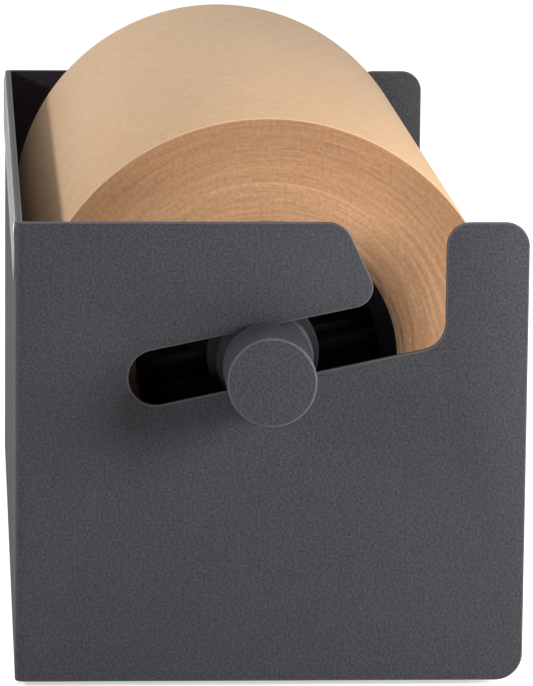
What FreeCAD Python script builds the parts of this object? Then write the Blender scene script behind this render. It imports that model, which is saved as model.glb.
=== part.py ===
"""Countertop dispenser and cutter for a roll of wrapping paper.

Millimetres, +Z up. X runs along the roll, the front panel with the blade faces -Y. The origin is
on the table, under the middle of the whole object.
"""
import FreeCAD, Part
import math
import os

V = FreeCAD.Vector
X_AXIS = V(1, 0, 0)
Y_AXIS = V(0, 1, 0)
Z_AXIS = V(0, 0, 1)

# Paper roll on a three inch core
paper_radius = 71.8
paper_width = 305.0
core_bore_radius = 38.1
core_wall = 3.0
lean_clearance = 1.1
roll_floor_clearance = 6.977
roll_set_back = 1.6
roll_drop = 2.6

# Housing, one sheet bent into a U in plan
sheet = 2.0
bend_inner_radius = 0.8
plate_rear_top_radius = 7.0
plate_rear_bottom_radius = 8.0
rear_lug_width = 24.3

# Slot and notch of the side plates
slot_width = 16.4
slot_slope = 12.0
slot_end_below_top = 45.9
bare_core_slack = 2.0
notch_behind_axle = 52.4
notch_mouth_width = 30.0
notch_floor_radius = 8.0
lug_slant = 64.3
lug_top_radius = 7.5
lug_nose_radius = 6.0

# Axle
rod_radius = 5.0
slot_clearance = 0.2
knob_radius = 13.0
knob_length = 27.0
knob_plate_gap = 1.8
knob_bore_depth = 20.0
knob_edge_radius = 0.8
collar_radius = 14.5
collar_length = 8.0
collar_chamfer = 0.7
collar_neck_radius = 9.0
collar_neck_length = 3.0
collar_plate_gap = 6.9
washer_radius = 16.7
washer_thickness = 1.5
fit_clearance = 0.02

# Core plug
plug_lip_overlap = 0.8
plug_lip_thickness = 1.5
plug_insert_depth = 28.0
plug_ring_wall = 4.2
plug_hub_radius = 11.0
plug_hub_reach = 4.4
plug_rib_thickness = 2.4
plug_rib_count = 4
plug_rib_recess = 1.2
plug_core_clearance = 0.1
plug_running_clearance = 0.05
plug_end_clearance = 0.2

# Grub screws of knobs and collars
grub_radius = 2.0
grub_length = 5.5
grub_socket_flats = 2.0
grub_socket_depth = 2.5

# Cutter blade on the front panel
blade_thickness = 0.6
blade_height = 18.0
blade_end_margin = 9.0
blade_tip_drop = 0.5
tooth_pitch = 3.0
tooth_depth = 1.8
rivet_count = 5
rivet_from_blade_end = 15.0
rivet_radius = 1.5
rivet_head_radius = 2.6
rivet_below_top = 11.0

# Base pan, a floor with its flanges turned down
pan_height = 13.0
pan_edge_lift = 0.5
pan_rear_inset = 10.0
pan_corner_relief = 5.0
stud_radius = 2.0
stud_over_nut = 2.8
stud_nut_flats = 7.0
stud_nut_height = 3.2
side_stud_inset = 24.0
front_stud_count = 3
front_stud_inset = 68.0

# Feet
foot_drop = 1.5
foot_top_radius = 10.0
foot_bottom_radius = 8.5
foot_from_end = 30.0
foot_from_front = 27.0
foot_from_rear = 33.0
foot_seat = 4.0
foot_recess_radius = 4.6
foot_screw_radius = 2.0
foot_screw_head_radius = 3.8
foot_screw_head_height = 2.4
foot_screw_over_nut = 0.8
foot_nut_flats = 7.0
foot_nut_height = 3.2
socket_flats = 2.0
socket_depth = 1.0
screw_hole_clearance = 0.1

# Lengths below this count as nothing
tolerance = 1e-6

# Places along the axle, worked out from the sizes above
core_radius = core_bore_radius + core_wall
paper_end_x = paper_width / 2
plug_face_x = paper_end_x + plug_lip_thickness
hub_end_x = plug_face_x + plug_hub_reach
washer_inner_x = hub_end_x + plug_end_clearance
collar_inner_x = washer_inner_x + washer_thickness
collar_neck_end_x = collar_inner_x + collar_neck_length
collar_outer_x = collar_neck_end_x + collar_length
plate_inner_x = collar_outer_x + collar_plate_gap
plate_outer_x = plate_inner_x + sheet
housing_length = 2 * plate_outer_x
knob_inner_x = plate_outer_x + knob_plate_gap
knob_outer_x = knob_inner_x + knob_length
rod_end_x = knob_inner_x + knob_bore_depth

# Places from front to rear
axle_from_front = sheet + lean_clearance + paper_radius - roll_set_back
notch_from_front = axle_from_front + notch_behind_axle
housing_depth = notch_from_front + rear_lug_width
front_y = (blade_thickness - housing_depth) / 2
rear_y = front_y + housing_depth
panel_inner_y = front_y + sheet
axle_y = front_y + axle_from_front
roll_y = axle_y + roll_set_back
notch_y = front_y + notch_from_front
slot_end_y = panel_inner_y + core_radius - bare_core_slack
pan_rear_y = rear_y - pan_rear_inset

# Places from the table up
plate_bottom_z = foot_drop
pan_bottom_z = plate_bottom_z + pan_edge_lift
pan_top_z = pan_bottom_z + pan_height
pan_floor_z = pan_top_z - sheet
roll_z = pan_top_z + roll_floor_clearance + paper_radius
axle_z = roll_z + roll_drop
slope = math.radians(slot_slope)
axle_above_slot_middle = rod_radius + slot_clearance - slot_width / 2
slot_end_z = (axle_z - (axle_y - slot_end_y) * math.tan(slope)
              - axle_above_slot_middle / math.cos(slope))
top_z = slot_end_z + slot_end_below_top
stud_z = (pan_bottom_z + pan_floor_z) / 2
blade_top_z = top_z - blade_tip_drop
rivet_z = top_z - rivet_below_top


def box(x0, x1, y0, y1, z0, z1):
    return Part.makeBox(x1 - x0, y1 - y0, z1 - z0, V(x0, y0, z0))


def disc_x(radius, x0, x1, y=axle_y, z=axle_z):
    """Cylinder along X from x0 to x1, on the axle's line unless told otherwise."""
    return Part.makeCylinder(radius, x1 - x0, V(x0, y, z), X_AXIS)


def roll_disc(radius, x0, x1):
    """Cylinder along X on the roll's line, which lies below the axle's."""
    return disc_x(radius, x0, x1, roll_y, roll_z)


def hexagon(flats, height, base, axis):
    """Hexagonal prism with its first face's centre at base."""
    circumradius = flats / math.sqrt(3)
    corners = []
    for step in range(7):
        angle = math.radians(60 * step)
        corners.append(V(circumradius * math.cos(angle), circumradius * math.sin(angle), 0))
    prism = Part.Face(Part.makePolygon(corners)).extrude(Z_AXIS * height)
    prism.Placement = FreeCAD.Placement(base, FreeCAD.Rotation(Z_AXIS, axis))
    return prism


def line_crossing(point_a, direction_a, point_b, direction_b):
    """Where two lines of the YZ plane meet."""
    gap = point_b - point_a
    determinant = direction_a.y * direction_b.z - direction_a.z * direction_b.y
    reach = (gap.y * direction_b.z - gap.z * direction_b.y) / determinant
    return point_a + direction_a * reach


def rounded_wire(corners):
    """Closed wire through (point, radius) corners, each one rounded by its tangent arc.

    An arc takes no more than half of the edges beside it.
    """
    starts = []
    arcs = []
    for index, (corner, radius) in enumerate(corners):
        before = corners[index - 1][0] - corner
        after = corners[(index + 1) % len(corners)][0] - corner
        if radius == 0:
            starts.append((corner, corner))
            arcs.append(None)
            continue
        half_angle = before.getAngle(after) / 2
        room = min(before.Length, after.Length) / 2
        reach = min(radius / math.tan(half_angle), room)
        radius = reach * math.tan(half_angle)
        before = before.normalize()
        after = after.normalize()
        inward = (before + after).normalize()
        middle = corner + inward * (radius / math.sin(half_angle) - radius)
        enter = corner + before * reach
        leave = corner + after * reach
        starts.append((enter, leave))
        arcs.append(Part.Arc(enter, middle, leave).toShape())
    edges = []
    for index, (enter, leave) in enumerate(starts):
        if arcs[index]:
            edges.append(arcs[index])
        following = starts[(index + 1) % len(starts)][0]
        if leave.distanceToPoint(following) > tolerance:
            edges.append(Part.LineSegment(leave, following).toShape())
    return Part.Wire(edges)


def plate_outline():
    """Side view of the plate: rear lug, notch, sloping slot and the long front lug."""
    along = V(0, math.cos(slope), math.sin(slope))
    across = V(0, -math.sin(slope), math.cos(slope))
    half = slot_width / 2
    slot_end = V(0, slot_end_y, slot_end_z)
    slot_floor = slot_end - across * half
    slot_roof = slot_end + across * half
    slant = V(0, math.cos(math.radians(lug_slant)), -math.sin(math.radians(lug_slant)))
    lug_top = V(0, notch_y - notch_mouth_width, top_z)
    notch_floor = line_crossing(V(0, notch_y, 0), Z_AXIS, slot_floor, along)
    lug_nose = line_crossing(lug_top, slant, slot_roof, along)
    return rounded_wire([
        (V(0, front_y, plate_bottom_z), 0),
        (V(0, rear_y, plate_bottom_z), plate_rear_bottom_radius),
        (V(0, rear_y, top_z), plate_rear_top_radius),
        (V(0, notch_y, top_z), plate_rear_top_radius),
        (notch_floor, notch_floor_radius),
        (slot_floor - along * half, half),
        (slot_roof - along * half, half),
        (lug_nose, lug_nose_radius),
        (lug_top, lug_top_radius),
        (V(0, front_y, top_z), 0),
    ])


def bent_strip():
    """The U in plan, before the side plates are cut to their outline."""
    outer_radius = bend_inner_radius + sheet
    outer = box(-plate_outer_x, plate_outer_x, front_y, rear_y, plate_bottom_z, top_z)
    inner = box(-plate_inner_x, plate_inner_x, panel_inner_y, rear_y + sheet,
                plate_bottom_z - sheet, top_z + sheet)

    def front_corner_edges(block, y):
        return [edge for edge in block.Edges
                if abs(edge.BoundBox.YMax - y) < tolerance and edge.BoundBox.ZLength > tolerance]

    outer = outer.makeFillet(outer_radius, front_corner_edges(outer, front_y))
    inner = inner.makeFillet(bend_inner_radius, front_corner_edges(inner, panel_inner_y))
    return outer.cut(inner)


def rivet_places():
    span = housing_length - 2 * (blade_end_margin + rivet_from_blade_end)
    step = span / (rivet_count - 1)
    return [-span / 2 + index * step for index in range(rivet_count)]


def side_stud_places():
    return [panel_inner_y + side_stud_inset, pan_rear_y - side_stud_inset]


def front_stud_places():
    first = -plate_inner_x + front_stud_inset
    step = -2 * first / (front_stud_count - 1)
    return [first + index * step for index in range(front_stud_count)]


def foot_places():
    """Feet by name, with the middle of each."""
    x = plate_outer_x - foot_from_end
    y_front = front_y + foot_from_front
    y_rear = rear_y - foot_from_rear
    return {
        "foot_front_right": (x, y_front),
        "foot_front_left": (-x, y_front),
        "foot_rear_right": (x, y_rear),
        "foot_rear_left": (-x, y_rear),
    }


def rivet(x, clearance=0.0):
    """Rivet through blade and panel, closed flush with both faces."""
    outer = V(x, front_y - blade_thickness, rivet_z)
    inner = V(x, panel_inner_y, rivet_z)
    shank_radius = rivet_radius + clearance
    head_radius = rivet_head_radius + clearance
    head_depth = rivet_head_radius - rivet_radius
    shank = Part.makeCylinder(shank_radius, blade_thickness + sheet, outer, Y_AXIS)
    head = Part.makeCone(head_radius, shank_radius, head_depth, outer, Y_AXIS)
    tail = Part.makeCone(head_radius, shank_radius, head_depth, inner, -Y_AXIS)
    return shank.fuse([head, tail]).removeSplitter()


def housing_shell():
    prism = Part.Face(plate_outline()).extrude(X_AXIS * housing_length)
    prism.translate(V(-plate_outer_x, 0, 0))
    shell = bent_strip().common(prism)
    return shell.cut([rivet(x, fit_clearance) for x in rivet_places()])


def cutter_blade():
    """Flat strip with its teeth up, the tips just under the panel's top edge."""
    length = housing_length - 2 * blade_end_margin
    tooth_count = int(length / tooth_pitch)
    pitch = length / tooth_count
    left = -length / 2
    bottom_z = blade_top_z - blade_height
    gullet_z = blade_top_z - tooth_depth
    points = [V(left, front_y, bottom_z), V(left, front_y, gullet_z)]
    for index in range(tooth_count):
        points.append(V(left + (index + 0.5) * pitch, front_y, blade_top_z))
        points.append(V(left + (index + 1) * pitch, front_y, gullet_z))
    points.append(V(-left, front_y, bottom_z))
    points.append(points[0])
    strip = Part.Face(Part.makePolygon(points)).extrude(Y_AXIS * -blade_thickness)
    return strip.cut([rivet(x, fit_clearance) for x in rivet_places()])


def blade_rivets():
    return Part.makeCompound([rivet(x) for x in rivet_places()])


def base_pan():
    """Floor between the side plates with its four flanges turned down."""
    outer = box(-plate_inner_x, plate_inner_x, panel_inner_y, pan_rear_y, pan_bottom_z, pan_top_z)
    inner = box(-plate_inner_x + sheet, plate_inner_x - sheet, panel_inner_y + sheet,
                pan_rear_y - sheet, pan_bottom_z, pan_floor_z)

    def top_edges(block, z):
        return [edge for edge in block.Edges if abs(edge.BoundBox.ZMin - z) < tolerance]

    outer = outer.makeFillet(bend_inner_radius + sheet, top_edges(outer, pan_top_z))
    inner = inner.makeFillet(bend_inner_radius, top_edges(inner, pan_floor_z))
    pan = outer.cut(inner)
    cuts = []
    for x in (-plate_inner_x, plate_inner_x):
        for y in (panel_inner_y, pan_rear_y):
            cuts.append(box(x - pan_corner_relief, x + pan_corner_relief,
                            y - pan_corner_relief, y + pan_corner_relief,
                            pan_bottom_z, pan_top_z))
    for x, y in foot_places().values():
        cuts.append(Part.makeCylinder(foot_screw_radius + screw_hole_clearance, sheet,
                                      V(x, y, pan_floor_z), Z_AXIS))
    for base, inward in stud_seats():
        cuts.append(Part.makeCylinder(stud_radius + screw_hole_clearance, sheet, base, inward))
    return pan.cut(cuts)


def stud_seats():
    """Where each welded stud stands on the shell's inner side, and which way it points."""
    seats = []
    for y in side_stud_places():
        seats.append((V(plate_inner_x, y, stud_z), -X_AXIS))
        seats.append((V(-plate_inner_x, y, stud_z), X_AXIS))
    for x in front_stud_places():
        seats.append((V(x, panel_inner_y, stud_z), Y_AXIS))
    return seats


def pan_studs():
    length = sheet + stud_nut_height + stud_over_nut
    return Part.makeCompound([Part.makeCylinder(stud_radius, length, base, inward)
                              for base, inward in stud_seats()])


def pan_nuts():
    solids = []
    for base, inward in stud_seats():
        seat = base + inward * sheet
        nut = hexagon(stud_nut_flats, stud_nut_height, seat, inward)
        bore = Part.makeCylinder(stud_radius + fit_clearance, stud_nut_height, seat, inward)
        solids.append(nut.cut(bore))
    return Part.makeCompound(solids)


def foot(x, y):
    """Rubber foot with a deep recess that hides the screw's head."""
    body = Part.makeCone(foot_bottom_radius, foot_top_radius, pan_floor_z, V(x, y, 0), Z_AXIS)
    recess = Part.makeCylinder(foot_recess_radius, pan_floor_z - foot_seat, V(x, y, 0), Z_AXIS)
    hole = Part.makeCylinder(foot_screw_radius + screw_hole_clearance, pan_floor_z,
                             V(x, y, 0), Z_AXIS)
    return body.cut([recess, hole])


def foot_screws():
    seat_z = pan_floor_z - foot_seat
    shank_length = foot_seat + sheet + foot_nut_height + foot_screw_over_nut
    head_z = seat_z - foot_screw_head_height
    solids = []
    for x, y in foot_places().values():
        head = Part.makeCylinder(foot_screw_head_radius, foot_screw_head_height,
                                 V(x, y, head_z), Z_AXIS)
        shank = Part.makeCylinder(foot_screw_radius, shank_length, V(x, y, seat_z), Z_AXIS)
        socket = hexagon(socket_flats, socket_depth, V(x, y, head_z), Z_AXIS)
        solids.append(head.fuse(shank).cut(socket))
    return Part.makeCompound(solids)


def foot_nuts():
    solids = []
    for x, y in foot_places().values():
        seat = V(x, y, pan_top_z)
        nut = hexagon(foot_nut_flats, foot_nut_height, seat, Z_AXIS)
        bore = Part.makeCylinder(foot_screw_radius + fit_clearance, foot_nut_height, seat, Z_AXIS)
        solids.append(nut.cut(bore))
    return Part.makeCompound(solids)


def axle_rod():
    return disc_x(rod_radius, -rod_end_x, rod_end_x)


def grub_hole(x):
    """Threaded hole from the axle straight down to well outside the piece it crosses."""
    return Part.makeCylinder(grub_radius + fit_clearance, 2 * knob_radius,
                             V(x, axle_y, axle_z), -Z_AXIS)


def grub_screw(x):
    """Headless screw that bears on the rod from below."""
    tip = V(x, axle_y, axle_z - rod_radius - fit_clearance)
    body = Part.makeCylinder(grub_radius, grub_length, tip, -Z_AXIS)
    far_end = tip - Z_AXIS * (grub_length - grub_socket_depth)
    return body.cut(hexagon(grub_socket_flats, grub_socket_depth, far_end, -Z_AXIS))


def mirrored_group(solid):
    return Part.makeCompound([solid, mirrored(solid)])


def mirrored(solid):
    return solid.mirror(V(0, 0, 0), X_AXIS)


def knob_screw_x():
    return knob_inner_x + knob_bore_depth / 2


def collar_screw_x():
    return (collar_neck_end_x + collar_outer_x) / 2


def knob():
    """Plain cylinder with softened rims and a blind bore for the rod."""
    body = disc_x(knob_radius, knob_inner_x, knob_outer_x)
    rims = [edge for edge in body.Edges if edge.BoundBox.XLength < tolerance]
    body = body.makeFillet(knob_edge_radius, rims)
    bore = disc_x(rod_radius + fit_clearance, knob_inner_x, rod_end_x)
    return body.cut([bore, grub_hole(knob_screw_x())])


def shaft_collar():
    """Collar with a narrower neck that bears on the washer."""
    body = disc_x(collar_radius, collar_neck_end_x, collar_outer_x)
    rims = [edge for edge in body.Edges if edge.BoundBox.XLength < tolerance]
    body = body.makeChamfer(collar_chamfer, rims)
    neck = disc_x(collar_neck_radius, collar_inner_x, collar_outer_x)
    bore = disc_x(rod_radius + fit_clearance, collar_inner_x, collar_outer_x)
    return body.fuse(neck).cut([bore, grub_hole(collar_screw_x())]).removeSplitter()


def thrust_washer():
    body = disc_x(washer_radius, washer_inner_x, collar_inner_x)
    return body.cut(disc_x(rod_radius + fit_clearance, washer_inner_x, collar_inner_x))


def core_plug():
    """Lip, ring, ribs and hub. It grips the core and hangs loosely on the rod."""
    ring_radius = core_bore_radius - plug_core_clearance
    ring_inner = ring_radius - plug_ring_wall
    back_x = paper_end_x - plug_insert_depth
    ring = roll_disc(ring_radius, back_x, plug_face_x)
    lip = roll_disc(core_bore_radius + plug_lip_overlap, paper_end_x, plug_face_x)
    hollow = roll_disc(ring_inner, back_x, plug_face_x)
    body = ring.fuse(lip).cut(hollow)
    rib_front_x = plug_face_x - plug_rib_recess
    ribs = []
    for index in range(plug_rib_count):
        rib = box(back_x, rib_front_x, 0, ring_inner + plug_ring_wall / 2,
                  -plug_rib_thickness / 2, plug_rib_thickness / 2)
        rib.rotate(V(0, 0, 0), X_AXIS, slot_slope + index * 360 / plug_rib_count)
        rib.translate(V(0, roll_y, roll_z))
        ribs.append(rib)
    hub = roll_disc(plug_hub_radius, back_x, hub_end_x)
    hang = math.hypot(roll_set_back, roll_drop)
    bore = roll_disc(rod_radius + hang + plug_running_clearance, back_x, hub_end_x)
    return body.fuse(ribs + [hub]).cut(bore).removeSplitter()


def tube_x(outer_radius, inner_radius, half_length):
    return roll_disc(outer_radius, -half_length, half_length).cut(
        roll_disc(inner_radius, -half_length, half_length))


def build_nodes():
    nodes = {
        "housing_shell": housing_shell(),
        "cutter_blade": cutter_blade(),
        "blade_rivets": blade_rivets(),
        "base_pan": base_pan(),
        "pan_studs": pan_studs(),
        "pan_nuts": pan_nuts(),
        "foot_screws": foot_screws(),
        "foot_nuts": foot_nuts(),
        "axle_rod": axle_rod(),
        "knob_grub_screws": mirrored_group(grub_screw(knob_screw_x())),
        "collar_grub_screws": mirrored_group(grub_screw(collar_screw_x())),
        "cardboard_core": tube_x(core_radius, core_bore_radius, paper_end_x),
        "paper_roll": tube_x(paper_radius, core_radius, paper_end_x),
    }
    for name, (x, y) in foot_places().items():
        nodes[name] = foot(x, y)
    for name, make in (("knob", knob), ("shaft_collar", shaft_collar),
                       ("thrust_washer", thrust_washer), ("core_plug", core_plug)):
        right = make()
        nodes[name + "_right"] = right
        nodes[name + "_left"] = mirrored(right)
    return nodes


def main():
    os.makedirs("parts", exist_ok=True)
    for name, shape in build_nodes().items():
        shape.exportStep("parts/" + name + ".step")
    print("axle at y %.3f z %.3f" % (axle_y, axle_z))


main()
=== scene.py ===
from math import atan2, copysign, cos, hypot, pi, radians, sin, tau

import bmesh
import bpy
from bpy.props import FloatProperty, FloatVectorProperty, IntProperty, PointerProperty
from bpy.types import NodeSocket, Operator, Panel, PropertyGroup
from mathutils import Matrix, Vector, noise


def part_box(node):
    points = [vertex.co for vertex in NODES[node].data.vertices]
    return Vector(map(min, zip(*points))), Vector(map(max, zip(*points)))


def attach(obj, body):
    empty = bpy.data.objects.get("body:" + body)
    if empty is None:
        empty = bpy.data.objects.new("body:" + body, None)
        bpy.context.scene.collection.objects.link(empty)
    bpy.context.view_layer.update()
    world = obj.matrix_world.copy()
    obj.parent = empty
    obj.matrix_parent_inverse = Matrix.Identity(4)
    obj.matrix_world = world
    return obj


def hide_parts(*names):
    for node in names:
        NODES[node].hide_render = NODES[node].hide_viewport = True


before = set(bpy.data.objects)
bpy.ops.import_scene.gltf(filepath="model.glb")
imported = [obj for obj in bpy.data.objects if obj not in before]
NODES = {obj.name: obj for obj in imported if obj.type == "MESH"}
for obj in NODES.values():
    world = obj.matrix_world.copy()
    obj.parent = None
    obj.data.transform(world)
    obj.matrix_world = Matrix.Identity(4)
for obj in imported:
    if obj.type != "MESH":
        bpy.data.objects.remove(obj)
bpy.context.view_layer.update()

bl_info = {
    "name": "Wrapping paper cutter",
    "version": (1, 0, 0),
    "blender": (4, 5, 0),
    "location": "3D View > Sidebar > Paper cutter",
    "description": "Finishes a countertop roll holder with a toothed cutting strip",
    "category": "Object",
}

MM = 0.001
WELD = 1e-6
SIDES = ("right", "left")


def corners(name):
    return [Vector(corner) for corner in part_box(name)]


def middle(name):
    low, high = corners(name)
    return (low + high) / 2


AXLE = middle("axle_rod")
ROLL = middle("paper_roll")
PAPER_HIGH = corners("paper_roll")[1]
CORE_HIGH = corners("cardboard_core")[1]
PLUG_LOW, PLUG_HIGH = corners("core_plug_right")
BLADE_LOW, BLADE_HIGH = corners("cutter_blade")
PAPER_RADIUS = PAPER_HIGH.z - ROLL.z
CORE_RADIUS = CORE_HIGH.z - ROLL.z
ROD_RADIUS = AXLE.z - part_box("axle_rod")[0][2]

# M4 screws, studs and nuts
THREAD_RADIUS = 2.0 * MM
THREAD_PITCH = 0.7 * MM
NUT_FLATS = 7.0 * MM
NUT_HEIGHT = 3.2 * MM
NUT_BORE = 1.95 * MM


def length(name, text, default, low=0.0):
    return FloatProperty(name=name, description=text, default=default, min=low, precision=5,
                         unit="LENGTH")


def colour(name, text, default):
    return FloatVectorProperty(name=name, description=text, default=default, size=3, min=0.0,
                               max=1.0, subtype="COLOR")


def share(name, text, default, high=1.0):
    return FloatProperty(name=name, description=text, default=default, min=0.0, max=high)


def count(name, text, default, low, high):
    return IntProperty(name=name, description=text, default=default, min=low, max=high)


def power(name, text, default):
    return FloatProperty(name=name, description=text, default=default, min=0.0, unit="POWER")


class HousingSizes(PropertyGroup):
    rim_round: length("Rim rounding", "Rounding of the sheet's cut edges", 0.4 * MM)
    pan_round: length("Pan rounding", "Rounding of the base pan's cut edges", 0.25 * MM)
    foot_round: length("Foot rounding", "Rounding of the feet's edges", 0.4 * MM)
    tooth_pitch: length("Tooth pitch", "From tip to tip on the blade", 3.0 * MM, 1.0 * MM)
    tooth_depth: length("Tooth depth", "From tip to gullet", 1.8 * MM)
    tooth_grind: share("Tooth grind", "Share of the thickness ground away at the tips", 0.7)
    coat: colour("Coat", "Darker grains of the coating", (0.018, 0.018, 0.022))
    coat_light: colour("Light grains", "Lighter grains of the coating", (0.068, 0.068, 0.078))
    grain_size: length("Grain size", "Size of the coating's texture", 0.72 * MM)
    steel: colour("Blade steel", "Ground stainless steel", (0.60, 0.61, 0.62))
    zinc: colour("Zinc", "Plated screws, nuts and studs", (0.55, 0.56, 0.58))
    rubber: colour("Rubber", "Feet", (0.022, 0.022, 0.022))


class AxleSizes(PropertyGroup):
    edge_round: length("Edge rounding", "Rounding of turned edges", 0.15 * MM)
    rod_round: length("Rod rounding", "Rounding of the rod's ends", 0.5 * MM)
    knob_coat: colour("Knob coat", "Darker grains of knobs and collars", (0.014, 0.014, 0.018))
    washer: colour("Washer", "Satin coating of the thrust washers", (0.018, 0.018, 0.021))
    black_oxide: colour("Black oxide", "Grub screws", (0.03, 0.03, 0.032))


class RollSizes(PropertyGroup):
    layer_step: length("Layer step", "Thickness of the outer turn where it ends", 0.15 * MM)
    ring_count: count("Rings", "Bundles of turns on each end", 56, 8, 90)
    ring_shift: length("Ring shift", "How far the turns stand back", 0.22 * MM)
    paper: colour("Paper", "Brown kraft paper", (0.62, 0.405, 0.235))
    paper_edge: colour("Paper edge", "Cut edges of the wound turns", (0.57, 0.315, 0.165))
    # Colour of a painted highlight along the outermost turns' edge.
    paper_rim_highlight: colour("Paper rim", "The outermost turns' edge", (0.70, 0.47, 0.28))
    board: colour("Core board", "Brown board of the core", (0.40, 0.235, 0.13))
    board_wall: length("Board wall", "Thickness of the core's board", 2.95 * MM)
    plug: colour("Plug", "Plastic of the core plugs", (0.004, 0.004, 0.005))
    plug_round: length("Plug rounding", "Rounding of the plugs' edges", 0.25 * MM)
    ring_wall: length("Ring wall", "Thickness of the plugs' outer ring", 4.2 * MM)
    hub_radius: length("Hub radius", "Outer radius of the plugs' hubs", 11.0 * MM)
    rib_width: length("Rib width", "Thickness of the plugs' ribs", 2.4 * MM)
    rib_count: count("Ribs", "Ribs of each core plug", 4, 2, 12)
    rib_turn: share("Rib turn", "Degrees from the rear to the first rib", 12.0, 360.0)


class StageSizes(PropertyGroup):
    floor: colour("Floor", "Pale table top", (0.82, 0.82, 0.82))
    floor_glow: share("Floor glow", "Whitens the table top for the camera", 0.6)
    fill: share("Fill", "Even light from all round", 0.44, 4.0)
    backdrop: share("Backdrop", "Light from the white background", 0.95)
    front: share("Front share", "Share of the fill from the camera's side", 0.06)
    key: power("Key", "Lamp from the upper right", 8.4)
    side: power("Side", "Lamp from the front panel's side", 13.0)
    over: power("Over", "Wide soft lamp overhead", 4.6)


# Meshes

def new_object(name, data):
    made = bpy.data.objects.new(name, data)
    bpy.context.scene.collection.objects.link(made)
    return made


def mesh_from(name, bm, sharp_degrees=28.0):
    """A mesh with smooth faces, and sharp edges where they meet at more than the angle."""
    limit = radians(sharp_degrees)
    for face in bm.faces:
        face.smooth = True
    for edge in bm.edges:
        edge.smooth = not (edge.is_manifold and edge.calc_face_angle() > limit)
    mesh = bpy.data.meshes.new(name)
    bm.to_mesh(mesh)
    bm.free()
    return mesh


def face_out(bm):
    bmesh.ops.recalc_face_normals(bm, faces=bm.faces)


def welded(node):
    bm = bmesh.new()
    bm.from_mesh(NODES[node].data)
    bmesh.ops.remove_doubles(bm, verts=bm.verts, dist=WELD)
    return bm


def softened(name, node, body, material, radius, segments=2, edge_degrees=50.0,
             sharp_degrees=28.0, chamfered=False):
    """Seats a welded copy of a CAD node with its hard edges rounded and marked as rims, where the
    coat materials paint a highlight.
    """
    bm = welded(node)
    bmesh.ops.dissolve_limit(bm, angle_limit=radians(0.3), verts=bm.verts, edges=bm.edges)
    limit = radians(edge_degrees)
    edges = [edge for edge in bm.edges if edge.is_manifold and edge.calc_face_angle() > limit]
    made = bmesh.ops.bevel(bm, geom=edges, offset=radius, offset_type="OFFSET", segments=segments,
                           profile=0.5, affect="EDGES", clamp_overlap=True)
    face_out(bm)
    highlight_rims = set(made["faces"])
    # Chamfer faces get the rim mark too, and so the coats' painted highlight.
    if chamfered:
        highlight_rims |= {face for face in bm.faces if 0.3 < abs(face.normal.x) < 0.95}
    # The rim mark is read by the coat materials, which paint a highlight there.
    layer = bm.loops.layers.float.new("rim")
    for face in highlight_rims:
        for loop in face.loops:
            loop[layer] = 1.0
    seat(new_object(name, mesh_from(name, bm, sharp_degrees)), body, material, node)


def ring_of(bm, points, z):
    return [bm.verts.new((x, y, z)) for x, y in points]


def circle_points(radius, sides):
    return [(radius * cos(tau * step / sides), radius * sin(tau * step / sides))
            for step in range(sides)]


def bridge(bm, rings):
    for lower, upper in zip(rings, rings[1:]):
        for index in range(len(lower)):
            follow = (index + 1) % len(lower)
            bm.faces.new((lower[index], lower[follow], upper[follow], upper[index]))


def round_mesh(name, stations, sides=24, socket=()):
    """The mesh over a socket's (z, outline) pairs, if any, and round (z, radius) stations."""
    bm = bmesh.new()
    rings = [ring_of(bm, outline, z) for z, outline in socket]
    rings += [ring_of(bm, circle_points(radius, sides), z) for z, radius in stations]
    bridge(bm, rings)
    bm.faces.new(rings[0])
    bm.faces.new(rings[-1])
    face_out(bm)
    return mesh_from(name, bm)


def turned(name, profile, segments=128, sharp_degrees=28.0, rule=None):
    """A closed (x, radius) section turned about the roll's axis. A rule may shift each point."""
    bm = bmesh.new()
    rings = []
    for step in range(segments):
        angle = tau * step / segments
        ring = []
        for x, radius in profile:
            if rule:
                x, radius = rule(x, radius, angle)
            ring.append(bm.verts.new((x, ROLL.y + radius * cos(angle),
                                      ROLL.z + radius * sin(angle))))
        rings.append(ring)
    bridge(bm, rings + rings[:1])
    face_out(bm)
    return new_object(name, mesh_from(name, bm, sharp_degrees))


def both_ends(end, radii):
    """A tube's section: the radii outwards at the right end, and inwards at the left end."""
    return [(end, radius) for radius in radii], [(-end, radius) for radius in reversed(radii)]


def mirrored(piece):
    """The same piece at the left end, in place of the first."""
    bm = bmesh.new()
    bm.from_mesh(piece.data)
    bmesh.ops.scale(bm, vec=(-1, 1, 1), verts=bm.verts)
    bmesh.ops.reverse_faces(bm, faces=bm.faces)
    bm.to_mesh(piece.data)
    bm.free()


def solids_of(node):
    """Lowest and highest corner of each solid in a CAD node."""
    bm = welded(node)
    left = set(bm.verts)
    boxes = []
    while left:
        group = [left.pop()]
        for vert in group:
            for edge in vert.link_edges:
                other = edge.other_vert(vert)
                if other in left:
                    left.discard(other)
                    group.append(other)
        low = Vector(min(vert.co[axis] for vert in group) for axis in range(3))
        high = Vector(max(vert.co[axis] for vert in group) for axis in range(3))
        boxes.append((low, high))
    bm.free()
    return sorted(boxes, key=lambda box: tuple(box[0]))


def span_of(node):
    """Size of the first solid in a CAD node."""
    low, high = solids_of(node)[0]
    return high - low


def seat(piece, body, material, node):
    """Gives a finished piece its material and its place in the frame."""
    piece.data.materials.clear()
    piece.data.materials.append(material)
    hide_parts(node)
    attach(piece, body)


# Screws and nuts, one of each kind, along +Z from the origin

def screw_mesh(name, stations, socket_flats, socket_depth):
    """Screw through (z, radius) stations, with a hexagon socket in its start."""
    outline = []
    for x, y in circle_points(1.0, 24):
        angle = atan2(y, x)
        sector = (angle + pi / 6) % (pi / 3) - pi / 6
        reach = socket_flats / 2 / cos(sector)
        outline.append((reach * x, reach * y))
    start = stations[0][0]
    return round_mesh(name, stations, socket=[(start + socket_depth, outline), (start, outline)])


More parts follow.
